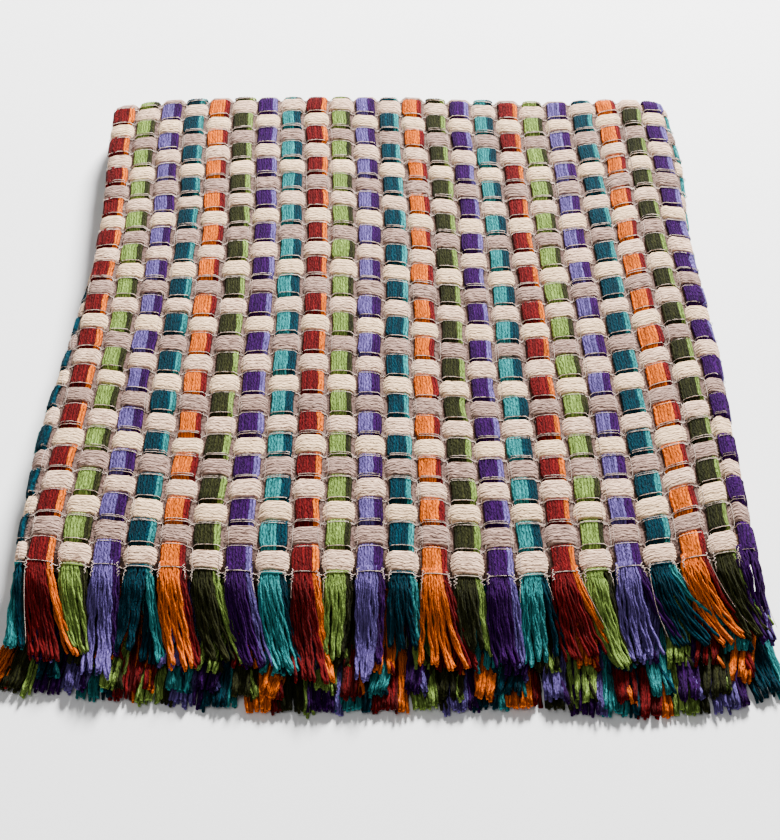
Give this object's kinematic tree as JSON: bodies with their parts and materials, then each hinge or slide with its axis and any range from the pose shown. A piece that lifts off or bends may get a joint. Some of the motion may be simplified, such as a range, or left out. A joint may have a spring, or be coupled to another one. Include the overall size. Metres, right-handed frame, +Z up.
{
  "type": "folded throw blanket",
  "caption": "Thick basket-weave throw with fringed ends, folded into a flat rectangular stack with all its fringe along the front edge.",
  "frame": {"origin": "middle of the stack's box, on the surface it rests on", "axes": "+X to the right along the fringed front edge, +Y from the front to the far fold, +Z up"},
  "size_m": [0.6177, 0.7736, 0.046],
  "materials": {
    "natural_yarn": "matt heathered natural wool-blend yarn in cream, oat and taupe",
    "red_yarn": "soft low-sheen plied yarn in red and orange",
    "green_yarn": "soft low-sheen plied yarn in light green and dark olive",
    "purple_yarn": "soft low-sheen plied yarn in lavender and purple",
    "teal_yarn": "soft low-sheen plied yarn in dark and light teal",
    "binding_thread": "thin matt beige thread"
  },
  "bodies": {
    "root": {"throw_cloth": "natural_yarn", "fringe_upper": "purple_yarn", "fringe_lower": "teal_yarn"}
  },
  "joints": []
}
